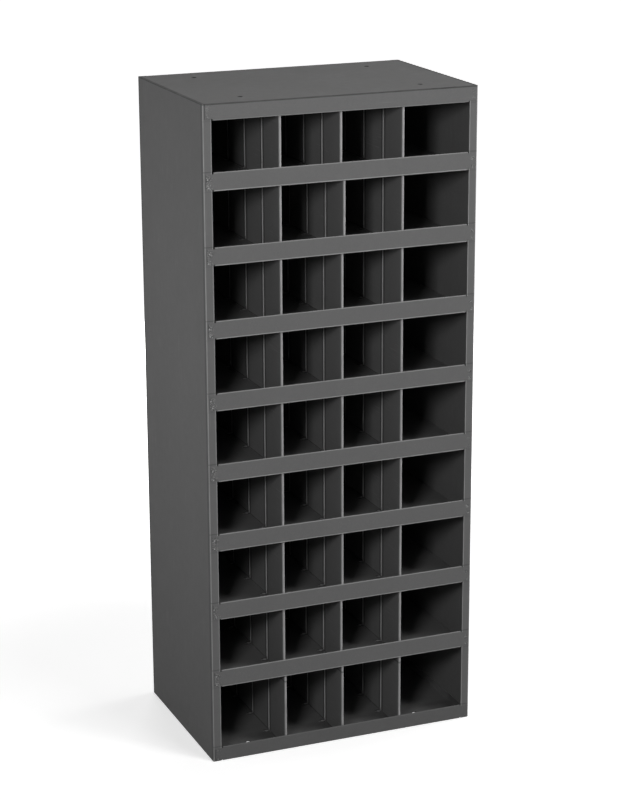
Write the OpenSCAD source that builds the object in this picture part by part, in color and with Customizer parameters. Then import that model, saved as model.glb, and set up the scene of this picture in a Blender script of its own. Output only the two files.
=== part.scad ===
// Open bin cabinet of folded and spot-welded sheet steel: two sides with front stiles, a top
// with a header in front of it, a base, a back, shelves with upturned front lips, and upright
// dividers in each row.
// The origin is on the ground under the middle of the cabinet. X runs to the right, Y runs
// back from the open front and Z runs up. Rows count from the bottom, columns from the left.

/* [Cabinet] */
// Width over the two sides
cabinet_w = 456; // [380:1:920]
// Depth from the front of the lips to the back of the sides
cabinet_d = 304.8; // [250:0.1:450]
// Height over all
cabinet_h = 1066.8; // [900:0.1:1300]

/* [Bins] */
// Bins in each row
columns = 4; // [3:1:6]
// Rows of bins
rows = 9; // [6:1:10]
// How much wider than the rest each outer bin is
outer_bin_extra = 23.2; // [16:0.1:40]
// How much taller than the rest the bottom row is
bottom_row_extra = 13.4; // [0:0.1:30]
// How much taller than the rest the top row is
top_row_extra = 17.5; // [0:0.1:40]

/* [Sheet] */
// Thickness of the sides, the top and the base
body_sheet = 1.2; // [0.8:0.1:1.6]
// Thickness of the shelves
shelf_sheet = 0.9; // [0.6:0.1:1.2]
// Thickness of the back
back_sheet = 0.9; // [0.6:0.1:1.5]
// Thickness of the dividers
divider_sheet = 0.8; // [0.6:0.1:1.2]
// Inside radius of every bend
bend_inside = 0.8; // [0.4:0.1:1.5]

/* [Front edges] */
// Width of the stile that each side shows at the front
stile_w = 14; // [10:0.5:24]
// Height of the lip on each shelf
shelf_lip_h = 29; // [18:0.5:40]
// Height of the lip on the base
base_lip_h = 24.3; // [16:0.1:40]
// Height of the header across the top of the front
header_h = 25.4; // [18:0.1:40]
// Depth of the hem that is folded back along the free edge of each lip
hem_depth = 7; // [4:0.5:10]
// Slot left between the two layers of a hem
hem_slot = 0.4; // [0.2:0.1:0.8]
// Distance from the side of the cabinet to the end of each lip's tab
tab_inset = 4; // [2.5:0.1:6]
// Relief between a tab and the hem or bend beside it
tab_relief = 2.5; // [1.5:0.1:4]

/* [Weld flanges] */
// Width of the flange behind the back panel on each side
back_flange_w = 14; // [10:0.5:30]
// Width of the hidden flanges round the shelves, the top and the base
pan_flange_w = 12; // [8:0.5:16]

/* [Dividers] */
// Width of the rolled front edge of a divider
roll_w = 4; // [3.2:0.1:5]
// Depth of the rolled front edge, round nose included
roll_depth = 8; // [5:0.5:12]
// Distance from the front of the cabinet to the nose of a divider
divider_setback = 4.2; // [4:0.1:10]
// Ribs on each divider
ribs = 3; // [2:1:4]
// Radius of the groove inside a rib
rib_groove_r = 1.2; // [0.8:0.1:1.6]
// Distance from the end of a rib to the shelf below or above it
rib_end_gap = 4.5; // [4:0.5:12]
// Width of the round-ended foot under each rib
foot_w = 12; // [8:0.5:16]
// Length of a foot from the divider's face
foot_l = 11; // [9:0.5:16]
// Slot left free beside and above the bend of a foot
foot_relief = 1.2; // [0.6:0.1:2]

/* [Bolt holes] */
// Diameter of the bolt holes in the top and the base
hole_d = 8.7; // [5:0.1:12]
// Distance from the side of the cabinet to a bolt hole
hole_side = 78; // [40:0.5:120]
// Distance from the front, and from the back, of the cabinet to a bolt hole
hole_front = 48; // [32:0.5:90]

/* [Hidden] */
$fn = 32;
paint = "#6c6c6c";
divider_paint = "#747474";
cut = 1;
air = 0.4;
lap = 0.3;

bay_w = (cabinet_w - 2 * outer_bin_extra) / columns;
row_h = (cabinet_h - bottom_row_extra - top_row_extra) / rows;
front = -cabinet_d / 2;
inside_w = cabinet_w - 2 * body_sheet;
stile_front = front + body_sheet;
side_d = cabinet_d - body_sheet;
body_bend = bend_inside + body_sheet;
back_front = front + cabinet_d - body_sheet - back_sheet;
pan_front = stile_front + body_bend + air;
lip_w = cabinet_w - 2 * stile_w - 2 * tab_relief;
tab_reach = cabinet_w / 2 - tab_inset;
header_flange_w = header_h - hem_depth - tab_relief;
divider_front = front + divider_setback;
divider_back = back_front - body_bend - air;
foot_bend = bend_inside + divider_sheet;
foot_h = foot_bend + foot_relief;
rib_r = rib_groove_r + divider_sheet;

// Height of the underside of a shelf. Number 0 is the base.
function shelf_z(number) = number == 0 ? 0 : bottom_row_extra + number * row_h;
// Height of the surface that the dividers of a row stand on
function row_floor(row) = shelf_z(row - 1) + (row == 1 ? body_sheet : shelf_sheet);
// Height of the surface above the dividers of a row
function row_ceiling(row) = row == rows ? cabinet_h - body_sheet : shelf_z(row);

// The dividers that stand visibly off their line: row, column, distance to the right
off_line = [[9, 2, -2], [8, 2, 3.5], [2, 2, -2], [1, 1, 2]];
function drift(row, column) = let (found = [for (o = off_line) if (o[0] == row && o[1] == column) o[2]])
    len(found) == 0 ? 0 : found[0];
// Place of a divider's rolled edge, measured at its middle
function divider_x(row, column) = (column - columns / 2) * bay_w + drift(row, column);
// Distance of a rib and its feet behind the nose of the divider
function rib_y(number) = number * cabinet_d / (ribs + 1) - divider_setback;

// Ring of bent sheet that starts in the given direction and turns through 90 or 180 degrees.
// A short straight end laps the leg at either side of it.
module bend(r, sheet, start, turn = 90) {
    rotate(start) {
        intersection() {
            difference() {
                circle(r);
                circle(r - sheet);
            }
            translate([turn == 180 ? -r : 0, 0])
                square([turn == 180 ? 2 * r : r, r]);
        }
        translate([r - sheet, -lap])
            square([sheet, lap]);
        rotate(turn)
            translate([r - sheet, 0])
                square([sheet, lap]);
    }
}

// Draws a profile of Y and Z and carries it along X over the given length, about the middle
module along_x(length) {
    translate([-length / 2, 0, 0])
        rotate([90, 0, 90])
            linear_extrude(length)
                children();
}

// Draws a profile of X and Z and carries it along Y between two places
module along_y(start, end) {
    translate([0, end, 0])
        rotate([90, 0, 0])
            linear_extrude(end - start)
                children();
}

// Repeats a shape and its mirror image on the left and the right
module both_sides() {
    children();
    mirror([1, 0, 0])
        children();
}

// Plan of the left side: stile, wall and back flange, with the outer corner at the origin
module side_plan() {
    translate([0, body_bend])
        square([body_sheet, side_d - 2 * body_bend]);
    translate([body_bend, body_bend])
        bend(body_bend, body_sheet, 180);
    translate([body_bend, 0])
        square([stile_w - body_bend, body_sheet]);
    translate([body_bend, side_d - body_bend])
        bend(body_bend, body_sheet, 90);
    translate([body_bend, side_d - body_sheet])
        square([back_flange_w - body_bend, body_sheet]);
}

module side_panel() {
    translate([-cabinet_w / 2, stile_front, 0])
        linear_extrude(cabinet_h)
            side_plan();
}

module side_left() {
    color(paint)
        side_panel();
}

module side_right() {
    color(paint)
        mirror([1, 0, 0])
            side_panel();
}

module back_panel() {
    width = inside_w - 2 * bend_inside - 2 * air;
    color(paint)
        translate([-width / 2, back_front, 0])
            cube([width, back_sheet, cabinet_h]);
}

// Section through an upright lip from the given height to its free edge, which is folded back
module hem_section(sheet, start, lip_h) {
    hem_r = sheet + hem_slot / 2;
    translate([0, start])
        square([sheet, lip_h - hem_r - start]);
    translate([hem_r, lip_h - hem_r])
        bend(hem_r, sheet, 0, 180);
    translate([sheet + hem_slot, lip_h - hem_depth])
        square([sheet, hem_depth - hem_r]);
}

// Section through a strip of floor with its upturned and hemmed lip
module lip_section(sheet, lip_h, strip_d) {
    r = bend_inside + sheet;
    translate([r, 0])
        square([strip_d - r, sheet]);
    translate([r, r])
        bend(r, sheet, 180);
    hem_section(sheet, r, lip_h);
}

// Section through one upturned weld flange on the right, up to where the floor starts
module flange_section(sheet, reach) {
    r = bend_inside + sheet;
    translate([reach - r, r])
        bend(r, sheet, 270);
    translate([reach - sheet, r])
        square([sheet, pan_flange_w - r]);
}

// The three hidden weld flanges of a pan, turned up
module pan_flanges(sheet) {
    r = bend_inside + sheet;
    both_sides()
        along_y(pan_front, back_front - r - air)
            flange_section(sheet, inside_w / 2);
    along_x(inside_w - 2 * r - 2 * air)
        flange_section(sheet, back_front);
}

// A floor with its weld flanges, cut back at the front so that it clears the stiles
module pan(sheet, flanges_up) {
    r = bend_inside + sheet;
    floor_w = inside_w - 2 * r;
    translate([-floor_w / 2, pan_front, 0])
        cube([floor_w, back_front - r - pan_front, sheet]);
    if (flanges_up)
        pan_flanges(sheet);
    else
        translate([0, 0, sheet])
            mirror([0, 0, 1])
                pan_flanges(sheet);
}

// The flat strip in front of the stiles whose two ends are the tabs that are welded to them
module tab_strip(sheet, bottom, top) {
    translate([-tab_reach, stile_front - sheet, bottom])
        cube([2 * tab_reach, sheet, top - bottom]);
}

// The front edge of a shelf or the base: an upturned, hemmed lip and its tabs
module front_lip(sheet, lip_h) {
    lip_front = stile_front - sheet;
    translate([0, lip_front, 0])
        along_x(lip_w)
            lip_section(sheet, lip_h, pan_front + lap - lip_front);
    tab_strip(sheet, tab_relief, lip_h - tab_relief);
}

// The four bolt holes, as one cutting shape through a sheet that lies at height 0
module bolt_holes() {
    for (x = [-1, 1] * (cabinet_w / 2 - hole_side))
        for (y = [-1, 1] * (cabinet_d / 2 - hole_front))
            translate([x, y, -cut])
                cylinder(d = hole_d, h = body_sheet + 2 * cut);
}

module base_panel() {
    color(paint)
        difference() {
            union() {
                pan(body_sheet, true);
                front_lip(body_sheet, base_lip_h);
            }
            bolt_holes();
        }
}

// Section through the floor strip and the flange at the front edge of the top, drawn upside down
module top_front_section() {
    translate([body_bend, 0])
        square([pan_front + lap - stile_front - body_bend, body_sheet]);
    translate([body_bend, body_bend])
        bend(body_bend, body_sheet, 180);
    translate([0, body_bend])
        square([body_sheet, header_flange_w - body_bend]);
}

module top_panel() {
    color(paint)
        translate([0, 0, cabinet_h])
            mirror([0, 0, 1])
                difference() {
                    union() {
                        pan(body_sheet, true);
                        translate([0, stile_front, 0])
                            along_x(lip_w)
                                top_front_section();
                    }
                    bolt_holes();
                }
}

// The hemmed strip across the top of the front. It stands in front of the top's own flange, and
// its ends are tabs like those of the shelves.
module header() {
    color(paint)
        translate([0, 0, cabinet_h])
            mirror([0, 0, 1]) {
                translate([0, front, 0])
                    along_x(lip_w)
                        hem_section(body_sheet, 0, header_h);
                tab_strip(body_sheet, 0, header_h - tab_relief);
            }
}

module shelf(number) {
    color(paint)
        translate([0, 0, shelf_z(number)]) {
            pan(shelf_sheet, false);
            front_lip(shelf_sheet, shelf_lip_h);
        }
}

// Plan of a divider: the flat sheet and its front edge rolled back on the right-hand side
module divider_plan() {
    nose_r = roll_w / 2;
    length = divider_back - divider_front;
    translate([0, nose_r])
        square([divider_sheet, length - nose_r]);
    translate([nose_r, nose_r])
        bend(nose_r, divider_sheet, 180, 180);
    translate([roll_w - divider_sheet, nose_r])
        square([divider_sheet, roll_depth - nose_r]);
}

// Upright bar with domed ends
module domed_bar(r, bottom, top) {
    translate([0, 0, bottom])
        cylinder(r = r, h = top - bottom);
    for (z = [bottom, top])
        translate([0, 0, z])
            sphere(r);
}

// The bulge of one pressed rib on the left-hand face of a divider
module rib_bulge(bottom, top) {
    intersection() {
        domed_bar(rib_r, bottom, top);
        translate([-2 * rib_r, -2 * rib_r, bottom - 2 * rib_r])
            cube([2 * rib_r, 4 * rib_r, top - bottom + 4 * rib_r]);
    }
}

// One foot, bent to the left from the bottom edge and round at its end
module foot() {
    intersection() {
        along_y(-foot_w / 2, foot_w / 2) {
            translate([0, foot_bend])
                square([divider_sheet, foot_relief + lap]);
            translate([divider_sheet - foot_bend, foot_bend])
                bend(foot_bend, divider_sheet, 270);
            translate([-foot_l, 0])
                square([foot_l + divider_sheet - foot_bend, divider_sheet]);
        }
        union() {
            translate([foot_w / 2 - foot_l, 0, -cut])
                cylinder(d = foot_w, h = foot_h + 2 * cut);
            translate([foot_w / 2 - foot_l, -foot_w / 2, -cut])
                cube([foot_l, foot_w, foot_h + 2 * cut]);
        }
    }
}

// The slot that frees a foot from the bottom edge
module foot_slot() {
    translate([-cut, -foot_w / 2 - foot_relief, -cut])
        cube([divider_sheet + 2 * cut, foot_w + 2 * foot_relief, foot_h + cut]);
}

// Puts a foot's shape at each rib, at the bottom edge and turned over at the top edge
module at_feet(height) {
    for (number = [1:ribs])
        translate([0, rib_y(number), 0]) {
            children();
            translate([0, 0, height])
                mirror([0, 0, 1])
                    children();
        }
}

// A divider with its left-hand face at X = 0, its nose at Y = 0 and its bottom edge at Z = 0
module divider_body(height) {
    rib_bottom = rib_end_gap + rib_r;
    rib_top = height - rib_end_gap - rib_r;
    difference() {
        union() {
            linear_extrude(height)
                divider_plan();
            for (number = [1:ribs])
                translate([divider_sheet, rib_y(number), 0])
                    rib_bulge(rib_bottom, rib_top);
        }
        for (number = [1:ribs])
            translate([divider_sheet, rib_y(number), 0])
                domed_bar(rib_groove_r, rib_bottom, rib_top);
        at_feet(height)
            foot_slot();
    }
    at_feet(height)
        foot();
}

module divider(row, column) {
    color(divider_paint)
        translate([divider_x(row, column) - roll_w / 2, divider_front, row_floor(row)])
            divider_body(row_ceiling(row) - row_floor(row));
}

side_left();
side_right();
top_panel();
header();
base_panel();
back_panel();
for (number = [1:rows - 1])
    shelf(number);
for (row = [1:rows])
    for (column = [1:columns - 1])
        divider(row, column);
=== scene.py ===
"""Open bin cabinet: folded sheets in stoved enamel, their weld marks, the light and the camera."""

import logging
import math
import random
from dataclasses import dataclass, replace
from enum import Enum
from typing import Any

import bpy
from mathutils import Matrix, Vector


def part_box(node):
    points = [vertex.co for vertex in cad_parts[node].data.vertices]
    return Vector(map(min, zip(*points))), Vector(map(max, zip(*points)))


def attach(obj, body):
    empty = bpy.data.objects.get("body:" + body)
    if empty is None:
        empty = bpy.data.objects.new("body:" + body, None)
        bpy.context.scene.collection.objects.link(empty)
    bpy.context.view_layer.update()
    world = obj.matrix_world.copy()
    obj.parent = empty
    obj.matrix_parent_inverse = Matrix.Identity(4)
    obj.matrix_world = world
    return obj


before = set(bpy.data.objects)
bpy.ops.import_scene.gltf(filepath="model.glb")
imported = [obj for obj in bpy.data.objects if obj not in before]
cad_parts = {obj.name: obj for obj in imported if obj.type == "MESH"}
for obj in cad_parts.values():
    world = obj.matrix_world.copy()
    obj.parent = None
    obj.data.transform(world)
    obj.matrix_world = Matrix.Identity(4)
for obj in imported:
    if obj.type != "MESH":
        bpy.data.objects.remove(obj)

Tree = bpy.types.NodeTree
Node = bpy.types.Node
Socket = bpy.types.NodeSocket

LOG = logging.getLogger("cabinet")
MM = 0.001
BODY = "root"
BODY_SLOT = "body_paint"
DIVIDER_SLOT = "divider_paint"
# Faces that meet at a flatter angle than this are shaded as one.
SMOOTH_DEGREES = 40.0
# A Mix node's colour sockets share their names with its other ones, so they go by number.
MIX_A = 6
MIX_B = 7
MIX_RESULT = 2


class Axis(Enum):
    """An axis of the cabinet: X to the right, Y to the back, Z up."""

    X = 0
    Y = 1
    Z = 2


class Slide(Enum):
    """Which way hands and goods slide over a sheet. The values stretch the scuffs' pattern."""

    ACROSS = (0.02, 1.0, 1.0)
    DEEP = (1.0, 0.02, 1.0)
    UPRIGHT = (1.0, 1.0, 0.02)


class Tone(Enum):
    """Whether a line is light, as wear of the film and painted highlight, or dark, as painted
    shade.
    """

    THIN = "thin_and_highlight"
    SHADED = "shaded"


class Fade(Enum):
    """How a mark fades out. The values are Blender's names for it."""

    EVEN = "LINEAR"
    SOFT = "SMOOTHSTEP"


def linear(hex_colour: str) -> tuple[float, float, float, float]:
    """Turns an sRGB hex colour into the linear values that Blender's sockets hold.

    Args:
        hex_colour: The colour as "#rrggbb".

    Returns:
        Red, green, blue and an alpha of 1.
    """
    channels = [int(hex_colour[start:start + 2], 16) / 255 for start in (1, 3, 5)]
    values = [c / 12.92 if c <= 0.04045 else ((c + 0.055) / 1.055) ** 2.4 for c in channels]
    return (values[0], values[1], values[2], 1.0)


def add(tree: Tree, kind: str, links: dict[Any, Any] | None = None, **settings: Any) -> Node:
    """Adds one shader node with its settings, its constant inputs and its links.

    Args:
        tree: The node tree that gets the node.
        kind: The node's type.
        links: Input name or number to the output that feeds it, or to its constant value.
        settings: Properties of the node itself.

    Returns:
        The new node.
    """
    new = tree.nodes.new(kind)
    for name, value in settings.items():
        setattr(new, name, value)
    for name, value in (links or {}).items():
        if isinstance(value, Socket):
            tree.links.new(value, new.inputs[name])
        else:
            new.inputs[name].default_value = value
    return new


def lay_over(tree: Tree, colour: Socket, tint: str, mask: Socket, strength: Any = 1.0) -> Socket:
    """Lays a tint over the colour so far.

    Args:
        tree: The node tree.
        colour: The colour so far.
        tint: The hex colour to lay over it.
        mask: Where the tint lies, from 0 to 1.
        strength: How strongly it lies there, as a number or as another mask.

    Returns:
        The colour with the tint.
    """
    share = add(tree, "ShaderNodeMath", {0: mask, 1: strength}, operation="MULTIPLY")
    mixed = add(tree, "ShaderNodeMix",
                {0: share.outputs[0], MIX_A: colour, MIX_B: linear(tint)}, data_type="RGBA")
    return mixed.outputs[MIX_RESULT]


def deselect_all() -> None:
    """Leaves nothing selected, because an operator acts on all that is."""
    bpy.ops.object.select_all(action="DESELECT")


@dataclass(frozen=True)
class CabinetSizes:
    """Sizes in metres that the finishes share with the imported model."""

    width: float = 456 * MM
    depth: float = 304.8 * MM
    height: float = 1066.8 * MM
    columns: int = 4
    rows: int = 9
    # The bottom row and the top row are this much taller than the rows between them.
    bottom_extra: float = 13.4 * MM
    top_extra: float = 17.5 * MM
    shelf_lip: float = 29 * MM
    base_lip: float = 24.3 * MM
    header: float = 25.4 * MM
    stile: float = 14 * MM
    body_sheet: float = 1.2 * MM
    divider_sheet: float = 0.8 * MM
    divider_setback: float = 4.2 * MM
    foot_width: float = 12 * MM
    ribs: int = 3
    # The spot welds in the tabs stand this far in from the sides.
    tab_weld: float = 6.8 * MM
    hole_diameter: float = 8.7 * MM
    hole_side: float = 78 * MM
    hole_front: float = 48 * MM

    @property
    def side(self) -> float:
        """X of the right side's outer face."""
        return self.width / 2

    @property
    def front(self) -> float:
        """Y of the plane that the header and the base lip reach."""
        return -self.depth / 2

    @property
    def back(self) -> float:
        """Y of the plane that the sides' back flanges reach."""
        return self.depth / 2

    @property
    def shelves(self) -> int:
        """How many shelves there are."""
        return self.rows - 1

    @property
    def row_height(self) -> float:
        """Distance from one shelf up to the next."""
        return (self.height - self.bottom_extra - self.top_extra) / self.rows

    @property
    def first_shelf(self) -> float:
        """Height of the lowest shelf."""
        return self.bottom_extra + self.row_height

    @property
    def first_lip_top(self) -> float:
        """Height of the upper edge of the lowest shelf's lip."""
        return self.first_shelf + self.shelf_lip

    @property
    def header_bottom(self) -> float:
        """Height of the header's lower edge."""
        return self.height - self.header

    @property
    def rib_pitch(self) -> float:
        """Distance from the front to the first rib of a divider, and from one rib to the next."""
        return self.depth / (self.ribs + 1)

    def hole_places(self) -> list[tuple[float, float]]:
        """Finds the four bolt holes in plan.

        Returns:
            X and Y of each centre.
        """
        reach_x = self.side - self.hole_side
        reach_y = self.back - self.hole_front
        return [(x, y) for x in (-reach_x, reach_x) for y in (-reach_y, reach_y)]


SIZES = CabinetSizes()


@dataclass(frozen=True)
class Pattern:
    """Noise at one real size, drawn out between two of its own levels."""

    size_mm: float
    detail: float = 1.0
    # The levels of the noise, from 0 to 1, where the pattern begins and where it is full.
    begins: float = 0.0
    full: float = 1.0
    lowest: float = 0.0
    highest: float = 1.0

    def add_to(self, tree: Tree, coords: Socket) -> Socket:
        """Adds the nodes that draw the pattern.

        Args:
            tree: The node tree.
            coords: Object coordinates.

        Returns:
            A value from the pattern's lowest to its highest.
        """
        noise = add(tree, "ShaderNodeTexNoise",
                    {"Vector": coords, "Scale": 1 / (self.size_mm * MM), "Detail": self.detail})
        drawn = add(tree, "ShaderNodeMapRange",
                    {"Value": noise.outputs["Fac"], "From Min": self.begins, "From Max": self.full,
                     "To Min": self.lowest, "To Max": self.highest})
        return drawn.outputs[0]


@dataclass(frozen=True)
class Line:
    """A line along an edge, bend or joint, at one place on an axis, fading out at its reach.

    A light line is partly wear of the film and partly painted highlight. A dark line is painted
    shade.
    """

    axis: Axis
    place: float
    reach: float
    strength: float = 1.0
    tone: Tone = Tone.THIN
    # A mirrored line lies at the same distance on both sides of the cabinet's middle.
    mirrored: bool = False
    # How far behind the front the line still shows. None is all the way to the back.
    depth: float | None = 4.0 * MM
    # The share of its reach within which the line keeps its full strength.
    core: float = 0.45
    pitch: float = 0.0
    count: int = 1

    def repeated(self, pitch: float, count: int) -> "Line":
        """The same line, count times, a pitch apart."""
        return replace(self, pitch=pitch, count=count)

    def add_to(self, tree: Tree, parts: Node) -> Socket:
        """Adds the nodes that find the line.

        Args:
            tree: The node tree.
            parts: The node that splits object coordinates.

        Returns:
            The line's strength on it, and 0 away from it or past its depth.
        """
        where = parts.outputs[self.axis.value]
        if self.mirrored:
            where = add(tree, "ShaderNodeMath", {0: where}, operation="ABSOLUTE").outputs[0]
        offset = add(tree, "ShaderNodeMath", {0: where, 1: self.place},
                     operation="SUBTRACT").outputs[0]
        if self.count > 1:
            offset = self._from_nearest(tree, offset)
        away = add(tree, "ShaderNodeMath", {0: offset}, operation="ABSOLUTE").outputs[0]
        found = add(
            tree, "ShaderNodeMapRange",
            {"Value": away, "From Min": self.reach * self.core, "From Max": self.reach,
             "To Min": self.strength, "To Max": 0.0},
            interpolation_type=Fade.SOFT.value,
        ).outputs[0]
        if self.depth is None:
            return found
        back = parts.outputs[Axis.Y.value]
        before = add(tree, "ShaderNodeMath", {0: back, 1: SIZES.front + self.depth},
                     operation="LESS_THAN")
        return add(tree, "ShaderNodeMath", {0: found, 1: before.outputs[0]},
                   operation="MULTIPLY").outputs[0]

    def _from_nearest(self, tree: Tree, offset: Socket) -> Socket:
        """Adds the nodes that measure from the nearest repeat of the line.

        Args:
            tree: The node tree.
            offset: How far a point lies past the first line.

        Returns:
            How far it lies past the nearest one.
        """
        turns = add(tree, "ShaderNodeMath", {0: offset, 1: self.pitch}, operation="DIVIDE")
        whole = add(tree, "ShaderNodeMath", {0: turns.outputs[0]}, operation="ROUND")
        nearest = add(tree, "ShaderNodeClamp",
                      {"Value": whole.outputs[0], "Min": 0.0, "Max": self.count - 1.0})
        return add(tree, "ShaderNodeMath", {0: nearest.outputs[0], 1: -self.pitch, 2: offset},
                   operation="MULTIPLY_ADD").outputs[0]


@dataclass(frozen=True)
class Ring:
    """A ring or spot in a weld mark, placed in shares of the mark's radius."""

    # It is nothing at the first share and full at the second.
    begins: float
    full: float
    strength: float
    fade: Fade = Fade.EVEN


@dataclass(frozen=True)
class SpotWelds:
    """Spot welds at both ends of a lip or both edges of the back, painted over: small dished rings.

    The same heights come again at every pitch from the start. Each mark lies a little off its
    place.
    """

    start: float
    pitch: float
    heights: tuple[float, ...]
    from_side: float
    # Y of the face that shows the marks, and how deep under it they reach.
    face: float
    skin: float = 0.5 * MM
    # How strongly the marks show, from 0 to 1.
    force: float = 1.0
    radius: float = 2.6 * MM
    spatter_radius: float = 9.0 * MM
    # The marks on the right are this share of the size of those on the left, as photographed.
    right_share: float = 0.55
    scatter_x: float = 1.8 * MM
    scatter_z: float = 1.2 * MM
    # Dark ring: partly heat tint and partly painted shade.
    burnt_and_shaded_ring: Ring = Ring(begins=1.0, full=0.65, strength=0.5)
    # Light middle: partly bare film and partly painted highlight.
    bare_and_highlit_middle: Ring = Ring(begins=0.58, full=0.38, strength=0.7)
    # The dish sinks by twice the height of the orange peel.
    dish: Ring = Ring(begins=1.0, full=0.4, strength=-2.0, fade=Fade.SOFT)

    def add_to(self, tree: Tree, parts: Node) -> Socket:
        """Adds the nodes that find the weld marks.

        Args:
            tree: The node tree.
            parts: The node that splits object coordinates.

        Returns:
            A value that is 1 in the middle of a mark and 0 where its spatter ends.
        """
        across, back, up = (parts.outputs[axis.value] for axis in Axis)
        side = add(tree, "ShaderNodeMath", {0: across}, operation="SIGN").outputs[0]
        share = add(tree, "ShaderNodeMapRange",
                    {"Value": side, "From Min": -1.0, "To Min": 1.0, "To Max": self.right_share})
        outward = add(tree, "ShaderNodeMath", {0: across}, operation="ABSOLUTE").outputs[0]
        risen = add(tree, "ShaderNodeMath", {0: up, 1: self.start}, operation="SUBTRACT").outputs[0]
        count = add(tree, "ShaderNodeMath", {0: risen, 1: self.pitch}, operation="DIVIDE")
        turn = add(tree, "ShaderNodeMath", {0: count.outputs[0]}, operation="FLOOR").outputs[0]
        local = add(tree, "ShaderNodeMath", {0: turn, 1: -self.pitch, 2: risen},
                    operation="MULTIPLY_ADD").outputs[0]
        found: Any = 0.0
        for number, height in enumerate(self.heights):
            seed = add(tree, "ShaderNodeCombineXYZ", {0: turn, 1: side, 2: float(number)})
            ways = ((outward, self.scatter_x, SIZES.side - self.from_side),
                    (local, self.scatter_z, height))
            away = self._from_centre(tree, seed.outputs[0], ways)
            grown = add(tree, "ShaderNodeMath", {0: away, 1: share.outputs[0]}, operation="DIVIDE")
            near = add(tree, "ShaderNodeMapRange",
                       {"Value": grown.outputs[0], "From Max": self.spatter_radius,
                        "To Min": 1.0, "To Max": 0.0})
            found = add(tree, "ShaderNodeMath", {0: found, 1: near.outputs[0]},
                        operation="MAXIMUM").outputs[0]
        on_face = add(tree, "ShaderNodeMath", {0: back, 1: self.face, 2: self.skin},
                      operation="COMPARE")
        return add(tree, "ShaderNodeMath", {0: on_face.outputs[0], 1: found},
                   operation="MULTIPLY").outputs[0]

    def _from_centre(self, tree: Tree, seed: Socket,
                     ways: tuple[tuple[Socket, float, float], ...]) -> Socket:
        """Adds the nodes that measure from one mark's centre, which is scattered about its place.

        Args:
            tree: The node tree.
            seed: A vector that is different for each mark.
            ways: For each of two directions the coordinate, the scatter and the place.

        Returns:
            The distance.
        """
        chance = add(tree, "ShaderNodeTexWhiteNoise", {"Vector": seed}, noise_dimensions="3D")
        throw = add(tree, "ShaderNodeSeparateXYZ", {0: chance.outputs["Color"]})
        off = []
        for number, (coordinate, scatter, place) in enumerate(ways):
            centre = add(tree, "ShaderNodeMath",
                         {0: throw.outputs[number], 1: 2 * scatter, 2: place - scatter},
                         operation="MULTIPLY_ADD")
            off.append(add(tree, "ShaderNodeMath", {0: coordinate, 1: centre.outputs[0]},
                           operation="SUBTRACT").outputs[0])
        both = add(tree, "ShaderNodeCombineXYZ", {0: off[0], 1: off[1]})
        away = add(tree, "ShaderNodeVectorMath", {0: both.outputs[0]}, operation="LENGTH")
        return away.outputs["Value"]

    def level_at(self, share: float) -> float:
        """The value of add_to at a share of the mark's radius."""
        return 1 - share * self.radius / self.spatter_radius

    def find_ring(self, tree: Tree, near: Socket, ring: Ring) -> Socket:
        """Adds the node that finds one ring of the marks.

        Args:
            tree: The node tree.
            near: 1 in the middle of a mark, 0 where its spatter ends.
            ring: The ring.

        Returns:
            The ring's strength where it is full, and 0 outside it.
        """
        return add(
            tree, "ShaderNodeMapRange",
            {"Value": near, "From Min": self.level_at(ring.begins),
             "From Max": self.level_at(ring.full), "To Max": ring.strength * self.force},
            interpolation_type=ring.fade.value,
        ).outputs[0]


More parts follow.
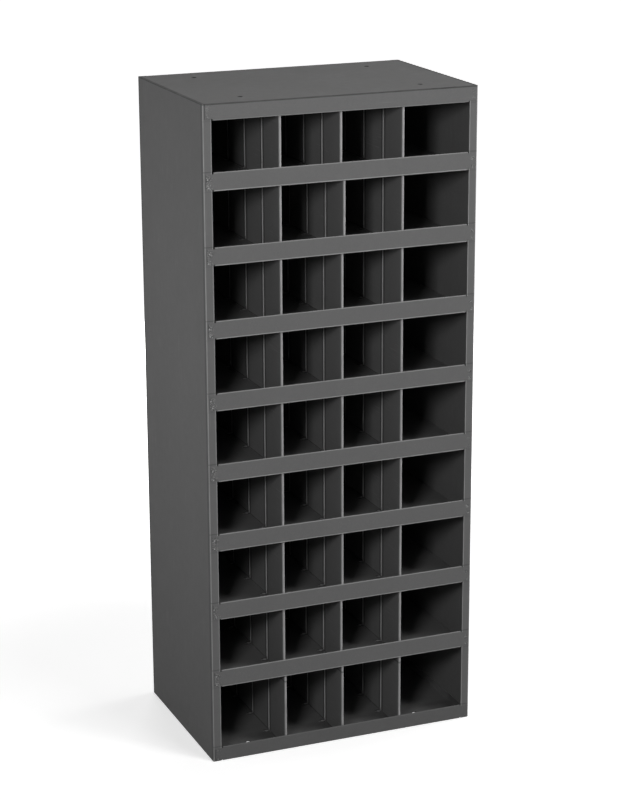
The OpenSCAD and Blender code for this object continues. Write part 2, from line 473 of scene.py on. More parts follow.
@dataclass(frozen=True)
class StovedEnamel:
    """Grey alkyd enamel, sprayed on cold-rolled steel sheet and stoved.

    To the eye it is a nearly even dark grey with a low sheen, a fine orange-peel skin, faint clouds
    where the spray overlapped, and light lines over bends and edges, partly wear of the film and
    partly painted highlight. Dark lines along seam lines, creases and bends are painted shade.
    """

    name: str
    body: str = "#6c6c6c"
    # Light tint: scuffs, spatter, wear, and painted highlight on bends, edges and weld marks.
    thin_and_highlight: str = "#a2a2a2"
    # Dark tint: painted shade along seam lines, creases, bends and tab edges.
    shade: str = "#303030"
    # Colour of spatter burn, also laid on as painted shade in the rings of weld marks.
    burnt_and_shade: str = "#474747"
    dust: str = "#8b8a87"
    roughness: float = 0.68
    specular_level: float = 0.12
    slide: Slide = Slide.ACROSS
    lines: tuple[Line, ...] = ()
    welds: SpotWelds | None = None
    # The film's tone swings with the passes of the spray, with how it flowed, and with grit.
    clouds: Pattern = Pattern(120.0, detail=2.0, lowest=-0.05, highest=0.05)
    mottle: Pattern = Pattern(9.0, detail=2.0, lowest=-0.035, highest=0.035)
    # Real grit in the film is about 0.2 mm wide. It is drawn at 1.7 mm, which the picture can hold.
    grit: Pattern = Pattern(1.7, detail=2.0, lowest=-0.08, highest=0.08)
    # Real orange peel repeats every 1 mm or so. It is drawn at 2.6 mm for the same reason.
    peel: Pattern = Pattern(2.6)
    # Thin sheet lies in slow waves, six times as high as the peel.
    waves: Pattern = Pattern(90.0, detail=0.0, highest=6.0)
    bump_strength: float = 0.35
    bump_distance: float = 0.3 * MM
    # Scuffs are long, a millimetre or two wide, and come in patches. They polish the film a little.
    streaks: Pattern = Pattern(1.6, begins=0.6, full=0.78)
    patches: Pattern = Pattern(45.0, begins=0.52, full=0.7)
    scuff_share: float = 0.15
    scuff_polish: float = 0.12
    # Dust drifts, and lies only on faces whose normal points up this far. It takes away some sheen.
    drift: Pattern = Pattern(30.0, detail=4.0, begins=0.3, full=0.75)
    dust_begins: float = 0.75
    dust_full: float = 0.98
    dust_share: float = 0.12
    dust_matting: float = 0.12
    # Lines along edges and joints are stronger here and weaker there.
    unevenness: Pattern = Pattern(22.0, detail=3.0, begins=0.3, full=0.7, lowest=0.7)
    sheen_clouds: Pattern = Pattern(14.0, detail=3.0, lowest=-0.08, highest=0.08)
    # Real spatter freckles are about 0.5 mm wide. They are drawn at 1.5 mm for the picture's sake.
    burnt_freckles: Pattern = Pattern(1.5, begins=0.48, full=0.36, highest=0.8)
    bare_freckles: Pattern = Pattern(1.5, begins=0.54, full=0.66, highest=0.55)

    def make(self) -> bpy.types.Material:
        """Makes the material.

        Returns:
            The new material.
        """
        material = bpy.data.materials.new(self.name)
        material.use_nodes = True
        tree = material.node_tree
        shader = tree.nodes["Principled BSDF"]
        coords = add(tree, "ShaderNodeTexCoord").outputs["Object"]
        parts = add(tree, "ShaderNodeSeparateXYZ", {0: coords})
        scuffs = self._find_scuffs(tree, coords)
        dusty = self._find_dust(tree, coords)
        colour = self._colour_film(tree, coords)
        colour = lay_over(tree, colour, self.thin_and_highlight, scuffs, self.scuff_share)
        colour = lay_over(tree, colour, self.dust, dusty, self.dust_share)
        # Light lines of wear and painted highlight, then dark lines of painted shade.
        for tone, tint in ((Tone.THIN, self.thin_and_highlight), (Tone.SHADED, self.shade)):
            colour = self._draw_lines(tree, coords, parts, colour, tone, tint)
        height = self._shape_skin(tree, coords)
        if self.welds:
            near = self.welds.add_to(tree, parts)
            colour = self._colour_welds(tree, coords, near, colour)
            dish = self.welds.find_ring(tree, near, self.welds.dish)
            height = add(tree, "ShaderNodeMath", {0: height, 1: dish}, operation="ADD").outputs[0]
        bump = add(tree, "ShaderNodeBump",
                   {"Height": height, "Strength": self.bump_strength,
                    "Distance": self.bump_distance})
        tree.links.new(colour, shader.inputs["Base Color"])
        tree.links.new(self._vary_sheen(tree, coords, scuffs, dusty), shader.inputs["Roughness"])
        tree.links.new(bump.outputs[0], shader.inputs["Normal"])
        shader.inputs["Specular IOR Level"].default_value = self.specular_level
        return material

    def _colour_film(self, tree: Tree, coords: Socket) -> Socket:
        """Colours the film with its clouds, mottle and grit.

        Args:
            tree: The node tree.
            coords: Object coordinates.

        Returns:
            The colour.
        """
        tone: Any = 1.0
        for pattern in (self.clouds, self.mottle, self.grit):
            tone = add(tree, "ShaderNodeMath", {0: tone, 1: pattern.add_to(tree, coords)},
                       operation="ADD").outputs[0]
        return add(tree, "ShaderNodeVectorMath", {0: linear(self.body)[:3], "Scale": tone},
                   operation="SCALE").outputs[0]

    def _shape_skin(self, tree: Tree, coords: Socket) -> Socket:
        """Shapes the skin: orange peel over the slow waves of a thin sheet.

        Args:
            tree: The node tree.
            coords: Object coordinates.

        Returns:
            The height.
        """
        waves = self.waves.add_to(tree, coords)
        peel = self.peel.add_to(tree, coords)
        return add(tree, "ShaderNodeMath", {0: waves, 1: peel}, operation="ADD").outputs[0]

    def _find_scuffs(self, tree: Tree, coords: Socket) -> Socket:
        """Finds the scuffs, which run the way that hands and goods slide.

        Args:
            tree: The node tree.
            coords: Object coordinates.

        Returns:
            1 on a scuff and 0 beside it.
        """
        stretched = add(tree, "ShaderNodeMapping", {"Vector": coords, "Scale": self.slide.value})
        streaks = self.streaks.add_to(tree, stretched.outputs[0])
        patches = self.patches.add_to(tree, coords)
        return add(tree, "ShaderNodeMath", {0: streaks, 1: patches},
                   operation="MULTIPLY").outputs[0]

    def _find_dust(self, tree: Tree, coords: Socket) -> Socket:
        """Finds the sparse, uneven film of dust on what faces up.

        Args:
            tree: The node tree.
            coords: Object coordinates.

        Returns:
            1 where the dust is thickest and 0 where there is none.
        """
        normal = add(tree, "ShaderNodeNewGeometry").outputs["Normal"]
        upward = add(tree, "ShaderNodeSeparateXYZ", {0: normal}).outputs[Axis.Z.value]
        facing = add(tree, "ShaderNodeMapRange",
                     {"Value": upward, "From Min": self.dust_begins, "From Max": self.dust_full})
        drift = self.drift.add_to(tree, coords)
        return add(tree, "ShaderNodeMath", {0: facing.outputs[0], 1: drift},
                   operation="MULTIPLY").outputs[0]

    def _draw_lines(self, tree: Tree, coords: Socket, parts: Node, colour: Socket,
                    tone: Tone, tint: str) -> Socket:
        """Lightens or darkens along the lines of one tone, unevenly along their length.

        Args:
            tree: The node tree.
            coords: Object coordinates.
            parts: The node that splits them.
            colour: The colour so far.
            tone: Which lines to draw.
            tint: The hex colour of these lines.

        Returns:
            The colour with the lines.
        """
        chosen = [line for line in self.lines if line.tone is tone]
        if not chosen:
            return colour
        found: Any = 0.0
        for line in chosen:
            found = add(tree, "ShaderNodeMath", {0: found, 1: line.add_to(tree, parts)},
                        operation="MAXIMUM").outputs[0]
        return lay_over(tree, colour, tint, found, self.unevenness.add_to(tree, coords))

    def _colour_welds(self, tree: Tree, coords: Socket, near: Socket, colour: Socket) -> Socket:
        """Colours each weld mark: spatter freckles, and a dark ring round a light middle, partly
        heat tint and partly painted shade and highlight where light would fall on the dish.

        Args:
            tree: The node tree.
            coords: Object coordinates.
            near: 1 in the middle of a mark, 0 where its spatter ends.
            colour: The colour so far.

        Returns:
            The colour with the marks.
        """
        welds = self.welds
        spread = add(tree, "ShaderNodeMapRange",
                     {"Value": near, "From Max": welds.level_at(1.0), "To Max": welds.force})
        for tint, freckles in ((self.burnt_and_shade, self.burnt_freckles), (self.thin_and_highlight, self.bare_freckles)):
            colour = lay_over(tree, colour, tint, freckles.add_to(tree, coords), spread.outputs[0])
        for tint, ring in ((self.burnt_and_shade, welds.burnt_and_shaded_ring), (self.thin_and_highlight, welds.bare_and_highlit_middle)):
            colour = lay_over(tree, colour, tint, welds.find_ring(tree, near, ring))
        return colour

    def _vary_sheen(self, tree: Tree, coords: Socket, scuffs: Socket, dusty: Socket) -> Socket:
        """Sets the roughness: clouded, smoother on scuffs and rougher under dust.

        Args:
            tree: The node tree.
            coords: Object coordinates.
            scuffs: Where the scuffs are.
            dusty: Where the dust is.

        Returns:
            The roughness.
        """
        clouds = self.sheen_clouds.add_to(tree, coords)
        changes = ((clouds, 1.0), (scuffs, -self.scuff_polish), (dusty, self.dust_matting))
        level: Any = self.roughness
        for where, change in changes:
            level = add(tree, "ShaderNodeMath", {0: where, 1: change, 2: level},
                        operation="MULTIPLY_ADD").outputs[0]
        return level


class SheetWork:
    """What all groups of sheets share: they dress nodes and add small pieces of steel."""

    def dress(self, name: str, finish: StovedEnamel) -> None:
        """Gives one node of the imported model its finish."""
        self.dress_all([name], finish)

    def dress_all(self, names: list[str], finish: StovedEnamel) -> None:
        """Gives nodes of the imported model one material.

        Args:
            names: The nodes' names.
            finish: What they are painted with.
        """
        material = finish.make()
        for name in names:
            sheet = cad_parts[name]
            sheet.data.materials.clear()
            sheet.data.materials.append(material)
            LOG.info("dressed %s in %s", name, material.name)

    def tab_welds(self, start: float, heights: tuple[float, ...], force: float = 1.0) -> SpotWelds:
        """Describes the weld marks on the two tabs of each lip.

        Args:
            start: Height of the lowest lip's lower edge.
            heights: Heights of the marks above it.
            force: How strongly they show.

        Returns:
            The marks.
        """
        return SpotWelds(start=start, pitch=SIZES.row_height, heights=heights,
                         from_side=SIZES.tab_weld, face=SIZES.front, force=force)

    def copy_to(self, places: list[Matrix], template: bpy.types.Object,
                name: str) -> bpy.types.Object:
        """Copies a modelled piece to places and joins the copies into one object.

        Args:
            places: Where the copies go.
            template: The piece, at the origin.
            name: The name of the result.

        Returns:
            The joined object, at the origin, with the places in its mesh.
        """
        deselect_all()
        for place in places:
            copy = template.copy()
            copy.data = template.data.copy()
            copy.data.transform(place)
            bpy.context.collection.objects.link(copy)
            copy.select_set(True)
            bpy.context.view_layer.objects.active = copy
        bpy.ops.object.join()
        joined = bpy.context.object
        joined.name = name
        joined.data.name = name
        return joined

    def hand_over(self, piece: bpy.types.Object, material: bpy.types.Material, slot: str) -> None:
        """Finishes a new piece: material, smooth faces and body.

        Args:
            piece: The piece.
            material: Its material.
            slot: The record's slot that it belongs to. Not used.
        """
        piece.data.materials.append(material)
        deselect_all()
        piece.select_set(True)
        bpy.context.view_layer.objects.active = piece
        bpy.ops.object.shade_smooth_by_angle(angle=math.radians(SMOOTH_DEGREES))
        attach(piece, BODY)
        LOG.info("built %s, %d faces", piece.name, len(piece.data.polygons))


@dataclass
class Shell(SheetWork):
    """Sides, top, header, base and back, with the torn rims of the bolt holes."""

    # From a side's outer faces to the middle of the wear and painted highlight on its front corner,
    # and to the middles of the painted shade beside its front and back bends.
    worn_and_highlit_corner: float = 0.5 * MM
    front_bend: float = 5.8 * MM
    back_bend: float = 5.2 * MM
    # A tab's edge throws painted shadow on the stile as a dark line this far outside the tab.
    tab_edge: float = 0.7 * MM
    tab_edge_reach: float = 1.3 * MM
    # Painted shade on the base floor is centred about this far behind the front and reaches this
    # far.
    floor_shade: float = 46 * MM
    floor_shade_reach: float = 41 * MM
    header_welds: tuple[float, float] = (7 * MM, 19 * MM)
    base_welds: tuple[float, float] = (5.5 * MM, 18 * MM)
    # The marks on the header and the base are fainter than those on the shelves.
    faint_force: float = 0.45
    back_weld_pitch: float = 100 * MM
    back_weld_start: float = 30 * MM
    back_weld_skin: float = 0.3 * MM
    # A punched hole's rim is torn down below the sheet, and stops short of the sheet's upper face.
    tear: float = 0.45 * MM
    rim_stop: float = 0.15 * MM
    rim_thickness: float = 0.3 * MM
    rim_flare: float = 0.1 * MM
    rim_segments: int = 28
    # Points closer together than this are merged where the rim closes.
    merge_distance: float = 0.02 * MM

    def build(self) -> None:
        """Dresses the shell's nodes and adds the rims of the holes."""
        self._dress_sides()
        self._dress_top_and_header()
        self._dress_base()
        self.dress("back_panel", StovedEnamel("stoved_enamel_back", slide=Slide.UPRIGHT))
        self._rim_holes()

    def _dress_sides(self) -> None:
        """Dresses both sides, with the welds that hold the back on their flanges."""
        # Light lines on the stiles' inner edges and outer corners: partly wear, partly painted
        # highlight.
        worn_and_highlit = (
            Line(Axis.X, SIZES.side - SIZES.stile, reach=1.8 * MM, strength=0.75,
                 mirrored=True, depth=None),
            Line(Axis.X, SIZES.side - self.worn_and_highlit_corner, reach=1.9 * MM, strength=0.9,
                 mirrored=True, depth=2.2 * MM),
        )
        # Painted shade beside the front and back bends and along the top edge.
        shaded = (
            Line(Axis.Y, SIZES.front + self.front_bend, reach=4.2 * MM, strength=0.4,
                 tone=Tone.SHADED, depth=None),
            Line(Axis.Y, SIZES.back - self.back_bend, reach=3.9 * MM, strength=0.35,
                 tone=Tone.SHADED, depth=None),
            Line(Axis.Z, SIZES.height, reach=2.4 * MM, strength=0.7, tone=Tone.SHADED, depth=None),
        )
        # Painted shadows that the tabs' edges throw on the stiles.
        under_lips = self._tab_edge(SIZES.first_shelf - self.tab_edge, strength=0.12)
        over_lips = self._tab_edge(SIZES.first_lip_top + self.tab_edge, strength=0.4)
        tab_edges = (
            under_lips.repeated(SIZES.row_height, SIZES.shelves),
            over_lips.repeated(SIZES.row_height, SIZES.shelves),
            self._tab_edge(SIZES.header_bottom - self.tab_edge, strength=0.15),
            self._tab_edge(SIZES.base_lip + self.tab_edge, strength=0.4),
        )
        back_welds = SpotWelds(start=self.back_weld_start, pitch=self.back_weld_pitch,
                               heights=(self.back_weld_pitch / 2,), from_side=SIZES.stile / 2,
                               face=SIZES.back, skin=self.back_weld_skin)
        self.dress_all(["side_left", "side_right"], StovedEnamel(
            "stoved_enamel_sides", slide=Slide.UPRIGHT,
            lines=worn_and_highlit + shaded + tab_edges, welds=back_welds,
        ))

    def _tab_edge(self, height: float, strength: float) -> Line:
        """The painted shadow that a tab's edge at a height throws on the stile."""
        return Line(Axis.Z, height, self.tab_edge_reach, strength, Tone.SHADED)

    def _dress_top_and_header(self) -> None:
        """Dresses the top, with painted shade along the seam lines round it, and the header."""
        seam = SIZES.body_sheet
        # Painted shade along the top's edges, where it meets the sides, the header and the back.
        shaded_seams = (
            Line(Axis.X, SIZES.side - seam, reach=4.5 * MM, strength=0.55, tone=Tone.SHADED,
                 mirrored=True, depth=None),
            Line(Axis.Y, SIZES.front + seam, reach=6.0 * MM, strength=0.55, tone=Tone.SHADED,
                 depth=None),
            Line(Axis.Y, SIZES.back, reach=5.0 * MM, strength=0.3, tone=Tone.SHADED, depth=None),
        )
        self.dress("top_panel", StovedEnamel("stoved_enamel_top", lines=shaded_seams))
        # Lower hem: partly wear, partly painted highlight. Top seam line: painted shade.
        worn_and_highlit_hem = Line(Axis.Z, SIZES.header_bottom, reach=2.0 * MM, strength=0.7)
        top_seam = Line(Axis.Z, SIZES.height, reach=2.2 * MM, strength=0.8, tone=Tone.SHADED,
                        depth=None)
        self.dress("header", StovedEnamel(
            "stoved_enamel_header", lines=(worn_and_highlit_hem, top_seam),
            welds=self.tab_welds(SIZES.header_bottom, self.header_welds, self.faint_force),
        ))

    def _dress_base(self) -> None:
        """Dresses the base, whose lip and floor are darkened by painted shade."""
        # The lip's lower edge is lighter: partly wear, partly painted highlight.
        worn_and_highlit_edge = Line(Axis.Z, 0.0, reach=1.6 * MM, strength=0.5)
        # Painted shade over the whole lip.
        shaded_lip = Line(Axis.Z, SIZES.base_lip / 2, reach=27 * MM, strength=0.2, tone=Tone.SHADED)
        # Painted shade on the floor behind the lip.
        shaded_floor = Line(Axis.Y, SIZES.front + self.floor_shade, self.floor_shade_reach,
                           strength=0.45, tone=Tone.SHADED, depth=None)
        self.dress("base_panel", StovedEnamel(
            "stoved_enamel_base", slide=Slide.DEEP,
            lines=(worn_and_highlit_edge, shaded_lip, shaded_floor),
            welds=self.tab_welds(0.0, self.base_welds, self.faint_force),
        ))

    def _rim_holes(self) -> None:
        """Lines the bolt holes of the top and the base with torn rims."""
        # Down in the holes the same enamel is drawn dark as painted shade.
        # Its grit and peel keep nearly their real size.
        painted = StovedEnamel(
            "stoved_enamel_over_burrs_shaded", body="#343434",
            grit=replace(StovedEnamel.grit, size_mm=0.5),
            peel=replace(StovedEnamel.peel, size_mm=0.8),
        ).make()
        rim = self._model_rim()
        torn_end = SIZES.height - SIZES.body_sheet - self.tear
        for name, low in (("hole_rims_top", torn_end), ("hole_rims_base", 0.0)):
            places = [Matrix.Translation((x, y, low)) for x, y in SIZES.hole_places()]
            self.hand_over(self.copy_to(places, rim, name), painted, BODY_SLOT)
        bpy.data.objects.remove(rim)

    def _model_rim(self) -> bpy.types.Object:
        """Models the torn rim that lines a punched hole: up outside, over, and down inside.

        Returns:
            The rim, centred on Z, from its low end at Z = 0.
        """
        outer = SIZES.hole_diameter / 2
        rise = SIZES.body_sheet + self.tear - self.rim_stop
        flared = (outer - self.rim_flare) / outer
        narrow = (outer - self.rim_thickness) / outer
        # Each step climbs by a share of the rise and scales the ring. The last one closes the rim.
        steps = ((0.75, 1.0), (0.25, flared), (-0.05, narrow), (-0.80, 1.0),
                 (-0.15, 1 / (flared * narrow)))
        deselect_all()
        bpy.ops.mesh.primitive_circle_add(vertices=self.rim_segments, radius=outer,
                                          location=(0, 0, 0))
        rim = bpy.context.object
        bpy.ops.object.mode_set(mode="EDIT")
        bpy.ops.mesh.select_all(action="SELECT")
        for climb, scale in steps:
            bpy.ops.mesh.extrude_edges_move(TRANSFORM_OT_translate={"value": (0, 0, climb * rise)})
            bpy.ops.transform.resize(value=(scale, scale, 1.0), center_override=(0, 0, 0))
        bpy.ops.mesh.select_all(action="SELECT")
        bpy.ops.mesh.remove_doubles(threshold=self.merge_distance)
        bpy.ops.mesh.normals_make_consistent(inside=False)
        bpy.ops.object.mode_set(mode="OBJECT")
        return rim


@dataclass
class ShelfStack(SheetWork):
    """The eight shelves with their front lips."""

    weld_heights: tuple[float, float] = (5.6 * MM, 18.4 * MM)
    # The lip's lower bend carries wear and a painted highlight a little above its edge.
    worn_and_highlit_bend: float = 0.3 * MM

    def build(self) -> None:
        """Dresses every shelf."""
        # Light lines on each lip's hem and lower bend: partly wear, partly painted highlight.
        worn_and_highlit_hem = Line(Axis.Z, SIZES.first_lip_top, reach=1.9 * MM, strength=0.4)
        worn_and_highlit_bend = Line(Axis.Z, SIZES.first_shelf + self.worn_and_highlit_bend, reach=2.2 * MM)
        names = [f"shelf_{number}" for number in range(1, SIZES.shelves + 1)]
        self.dress_all(names, StovedEnamel(
            "stoved_enamel_shelves", thin_and_highlight="#b4b4b4", slide=Slide.DEEP,
            lines=tuple(line.repeated(SIZES.row_height, SIZES.shelves)
                        for line in (worn_and_highlit_hem, worn_and_highlit_bend)),
            welds=self.tab_welds(SIZES.first_shelf, self.weld_heights),
        ))


@dataclass
class DividerSet(SheetWork):
    """The 27 dividers, with the weld marks on their feet."""

    # The painted shade in the creases beside a rib: real creases are 1 mm wide, and the shade is
    # drawn 5 mm wide, which the picture holds.
    crease_shade: float = 5.6 * MM
    crease_shade_reach: float = 3.4 * MM
    # The seam under a foot gets a dark line of painted shade this far above the sheet under it.
    foot_seam_shade: float = 1 * MM
    mark_radius: float = 2.6 * MM
    mark_ridge: float = 0.22 * MM
    mark_segments: int = 14
    # The ring's slope, its top and its inner slope, as shares of the mark's radius.
    ring_slope: float = 0.26
    ring_top: float = 0.12
    dish_slope: float = 0.24
    # How far the dish sinks, as a share of the ridge, and the mark into its foot.
    dish_depth: float = 0.7
    sunk: float = 0.1 * MM
    scatter: float = 0.6 * MM
    seed: int = 41

    def __post_init__(self) -> None:
        """Seeds the scatter of the marks."""
        self.chance = random.Random(self.seed)

    def build(self) -> None:
        """Dresses every divider and adds its weld marks."""
        rows = range(1, SIZES.rows + 1)
        columns = range(1, SIZES.columns)
        names = {row: [f"divider_{row}_{column}" for column in columns] for row in rows}
        self.dress_all(names[1], self._finish("stoved_enamel_base_dividers", SIZES.body_sheet))
        on_shelves = [name for row in rows[1:] for name in names[row]]
        self.dress_all(on_shelves, self._finish("stoved_enamel_dividers", SIZES.first_shelf))
        # Over the welds the same enamel is smooth, and drawn light, partly as a leaner film and
        # partly as a painted highlight. Its grit is nearly of real size.
        spot = StovedEnamel("stoved_enamel_over_welds_highlit", body="#a4a4a4", roughness=0.42,
                            grit=replace(StovedEnamel.grit, size_mm=0.6)).make()
        mark = self._model_mark()
        for row in rows:
            for column, name in zip(columns, names[row]):
                marks = self.copy_to(self._places(name), mark, f"welds_{row}_{column}")
                self.hand_over(marks, spot, DIVIDER_SLOT)
        bpy.data.objects.remove(mark)

    def _finish(self, name: str, bottom: float) -> StovedEnamel:
        """Describes the dividers' finish: light along nose and ribs, partly wear and partly painted
        highlight, and painted shade in the creases and under the feet.

        Args:
            name: The material's name.
            bottom: Height of the surface under the lowest of these dividers.

        Returns:
            The finish.
        """
        first_rib = SIZES.front + SIZES.rib_pitch
        crease_shade = Line(Axis.Y, first_rib - self.crease_shade, self.crease_shade_reach, strength=0.55,
                      tone=Tone.SHADED, depth=None)
        # Each rib: wear and painted highlight, with painted shade in the creases on both sides.
        at_ribs = (
            Line(Axis.Y, first_rib, reach=2.2 * MM, strength=0.85, depth=None),
            crease_shade,
            replace(crease_shade, place=first_rib + self.crease_shade),
        )
        # The nose is lighter: partly wear, partly painted highlight.
        nose = Line(Axis.Y, SIZES.front + SIZES.divider_setback, reach=3.2 * MM, strength=0.7,
                    depth=9 * MM)
        # Painted shade along the seam under the feet.
        foot_seam_shade = Line(Axis.Z, bottom + self.foot_seam_shade, reach=2.0 * MM, strength=0.6,
                         tone=Tone.SHADED, depth=None)
        return StovedEnamel(
            name, body="#747474", thin_and_highlight="#c4c4c4", slide=Slide.DEEP,
            lines=(nose, foot_seam_shade.repeated(SIZES.row_height, SIZES.rows),
                   *(line.repeated(SIZES.rib_pitch, SIZES.ribs) for line in at_ribs)),
        )

    def _places(self, name: str) -> list[Matrix]:
        """Finds the middle of each foot of a divider.

        Args:
            name: The divider's node.

        Returns:
            One matrix for each foot, turned over for the feet at the top edge.
        """
        low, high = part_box(name)
        middle_x = low[0] + SIZES.foot_width / 2
        feet = ((low[2] + SIZES.divider_sheet, Matrix.Identity(4)),
                (high[2] - SIZES.divider_sheet, Matrix.Rotation(math.pi, 4, "X")))
        places = []
        for number in range(1, SIZES.ribs + 1):
            middle_y = SIZES.front + number * SIZES.rib_pitch
            for height, turn in feet:
                x = middle_x + self.chance.uniform(-self.scatter, self.scatter)
                y = middle_y + self.chance.uniform(-self.scatter, self.scatter)
                places.append(Matrix.Translation((x, y, height)) @ turn)
        return places

    def _model_mark(self) -> bpy.types.Object:
        """Models one weld mark: a dished spot inside a raised ring, sunk a little into its foot.

        Returns:
            The mark, standing on Z = 0.
        """
        deselect_all()
        bpy.ops.mesh.primitive_cylinder_add(vertices=self.mark_segments, radius=self.mark_radius,
                                            depth=self.sunk, location=(0, 0, 0))
        mark = bpy.context.object
        for face in mark.data.polygons:
            face.select = face.normal.z > 0.5
        bpy.ops.object.mode_set(mode="EDIT")
        bpy.ops.mesh.select_mode(type="FACE")
        bpy.ops.mesh.inset(thickness=self.mark_radius * self.ring_slope)
        bpy.ops.transform.translate(value=(0, 0, self.mark_ridge))
        bpy.ops.mesh.inset(thickness=self.mark_radius * self.ring_top)
        bpy.ops.mesh.inset(thickness=self.mark_radius * self.dish_slope)
        bpy.ops.transform.translate(value=(0, 0, -self.mark_ridge * self.dish_depth))
        bpy.ops.object.mode_set(mode="OBJECT")
        return mark


def find_seen(tree: Tree) -> Socket:
    """Tells the rays that show the background from those that light the cabinet.

    Args:
        tree: The node tree of the floor or the world.

    Returns:
        1 for camera, glossy and transmission rays, otherwise 0.
    """
    path = add(tree, "ShaderNodeLightPath")
    first = add(tree, "ShaderNodeMath",
                {0: path.outputs["Is Camera Ray"], 1: path.outputs["Is Glossy Ray"]},
                operation="MAXIMUM")
    return add(tree, "ShaderNodeMath",
               {0: first.outputs[0], 1: path.outputs["Is Transmission Ray"]},
               operation="MAXIMUM").outputs[0]


@dataclass(frozen=True)
class PaleCard:
    """Thick uncoated card, pressed and left matt, on the floor.

    To the eye it is pale with a faint grain and no gloss. It keeps the cabinet's shadow near the
    cabinet and shows white further off.
    """

    name: str = "pale_card"
    colour: str = "#e6e6e6"
    # What the floor throws back at the cabinet is darker than what it shows.
    bounce_colour: str = "#4d4d4d"
    grain: Pattern = Pattern(4.0, detail=2.0, lowest=0.97)
    roughness: float = 0.9
    specular_level: float = 0.1
    # How much white the floor adds at the cabinet, and where this begins to grow and is full.
    near_lift: float = 0.56
    near_radius: float = 0.5
    white_radius: float = 1.3

    def make(self) -> bpy.types.Material:
        """Makes the material.

        Returns:
            The new material.
        """
        material = bpy.data.materials.new(self.name)
        material.use_nodes = True
        tree = material.node_tree
        shader = tree.nodes["Principled BSDF"]
        seen = find_seen(tree)
        coords = add(tree, "ShaderNodeTexCoord").outputs["Object"]
        paper = add(tree, "ShaderNodeVectorMath",
                    {0: linear(self.colour)[:3], "Scale": self.grain.add_to(tree, coords)},
                    operation="SCALE")
        shown = add(tree, "ShaderNodeMix",
                    {0: seen, MIX_A: linear(self.bounce_colour), MIX_B: paper.outputs[0]},
                    data_type="RGBA")
        away = add(tree, "ShaderNodeVectorMath", {0: coords}, operation="LENGTH")
        white = add(tree, "ShaderNodeMapRange",
                    {"Value": away.outputs["Value"], "From Min": self.near_radius,
                     "From Max": self.white_radius, "To Min": self.near_lift},
                    interpolation_type=Fade.SOFT.value)
        lift = add(tree, "ShaderNodeMath", {0: seen, 1: white.outputs[0]}, operation="MULTIPLY")
        tree.links.new(shown.outputs[MIX_RESULT], shader.inputs["Base Color"])
        tree.links.new(lift.outputs[0], shader.inputs["Emission Strength"])
        shader.inputs["Emission Color"].default_value = linear("#ffffff")
        shader.inputs["Roughness"].default_value = self.roughness
        shader.inputs["Specular IOR Level"].default_value = self.specular_level
        return material


@dataclass(frozen=True)
class Softbox:
    """One soft lamp, aimed at a point of the cabinet."""

    name: str
    place: tuple[float, float, float]
    aim: tuple[float, float, float]
    width: float
    height: float
    watts: float

    def build(self) -> None:
        """Adds the lamp."""
        deselect_all()
        bpy.ops.object.light_add(type="AREA", location=self.place)
        lamp = bpy.context.object
        lamp.name = self.name
        lamp.data.shape = "RECTANGLE"
        lamp.data.size = self.width
        lamp.data.size_y = self.height
        lamp.data.energy = self.watts
        sight = Vector(self.aim) - Vector(self.place)
        lamp.rotation_euler = sight.to_track_quat("-Z", "Y").to_euler()
        LOG.info("lit %s", self.name)


@dataclass(frozen=True)
class PhotoCamera:
    """A camera at the photograph's angle, fitted to seven corners of the cabinet."""

    place: tuple[float, float, float] = (-1.3761, -3.3861, 1.6270)
    yaw: float = -22.21
    tilt_down: float = 16.54
    roll: float = -0.26
    focal_px: float = 2322.9
    long_side_px: float = 800.0
    sensor_mm: float = 36.0

    def build(self) -> None:
        """Adds the camera and makes it the scene's."""
        deselect_all()
        bpy.ops.object.camera_add(location=self.place)
        camera = bpy.context.object
        camera.name = "photo_camera"
        camera.data.sensor_width = self.sensor_mm
        camera.data.lens = self.focal_px / self.long_side_px * self.sensor_mm
        turn = Matrix.Rotation(math.radians(self.yaw), 4, "Z")
        tilt = Matrix.Rotation(math.radians(90 - self.tilt_down), 4, "X")
        roll = Matrix.Rotation(math.radians(self.roll), 4, "Z")
        camera.rotation_euler = (turn @ tilt @ roll).to_euler()
        bpy.context.scene.camera = camera
        LOG.info("set the camera")


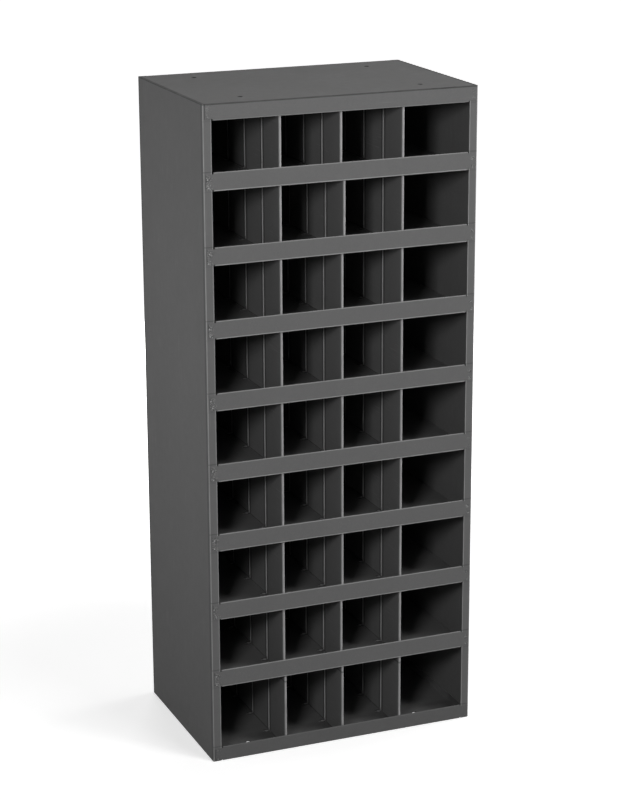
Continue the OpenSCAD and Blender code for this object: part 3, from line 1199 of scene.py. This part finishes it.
@dataclass
class Studio:
    """Pale floor, white surround, soft lamps and the camera."""

    floor_size: float = 60.0
    floor: PaleCard = PaleCard()
    # How much the surround lights the cabinet, where 1 is white.
    ambient: float = 0.015
    # Each lamp's place, what it is aimed at, its width and height, and its watts.
    lamps: tuple[Softbox, ...] = (
        Softbox("key_front_left", (-1.62, -2.29, 1.72), (0.0, -0.15, 0.65), 0.52, 0.58, 26.0),
        Softbox("low_front_left", (-2.64, -3.58, 0.62), (0.0, -0.15, 0.6), 1.3, 0.5, 3.0),
        Softbox("over_front", (0.5, -1.4, 2.5), (0.0, -0.1, 0.75), 0.7, 0.7, 16.0),
        Softbox("over_back", (0.9, 0.5, 2.6), (0.0, 0.0, 1.0), 0.8, 0.8, 3.5),
        Softbox("front_right", (2.4, -3.0, 1.8), (0.0, 0.0, 0.7), 1.2, 1.0, 58.0),
        Softbox("left_side", (-1.0, 0.0, 0.8), (0.0, 0.0, 0.8), 0.5, 0.6, 1.7),
        Softbox("right_side", (2.6, 0.5, 0.8), (0.0, 0.0, 0.6), 1.2, 0.7, 34.0),
        Softbox("back", (0.6, 2.6, 0.55), (0.0, 0.0, 0.55), 1.2, 0.8, 40.0),
    )
    camera: PhotoCamera = PhotoCamera()

    def build(self) -> None:
        """Builds the whole studio."""
        self._surround()
        self._lay_floor()
        for lamp in self.lamps:
            lamp.build()
        self.camera.build()
        bpy.context.scene.view_settings.view_transform = "Standard"

    def _surround(self) -> None:
        """Makes the world: white where it is seen, faint where it lights."""
        world = bpy.context.scene.world or bpy.data.worlds.new("surround")
        bpy.context.scene.world = world
        world.use_nodes = True
        tree = world.node_tree
        background = tree.nodes["Background"]
        background.inputs["Color"].default_value = linear("#ffffff")
        strength = add(tree, "ShaderNodeMapRange",
                       {"Value": find_seen(tree), "To Min": self.ambient})
        tree.links.new(strength.outputs[0], background.inputs["Strength"])

    def _lay_floor(self) -> None:
        """Lays the floor."""
        deselect_all()
        bpy.ops.mesh.primitive_plane_add(size=self.floor_size, location=(0, 0, 0))
        floor = bpy.context.object
        floor.name = "floor"
        floor.data.materials.append(self.floor.make())
        LOG.info("laid the floor")


def main() -> None:
    """Builds the cabinet's groups in order, then the studio."""
    logging.basicConfig(level=logging.INFO, format="%(message)s")
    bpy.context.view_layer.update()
    for group in (Shell(), ShelfStack(), DividerSet()):
        group.build()
    Studio().build()


if __name__ == "__main__":
    main()
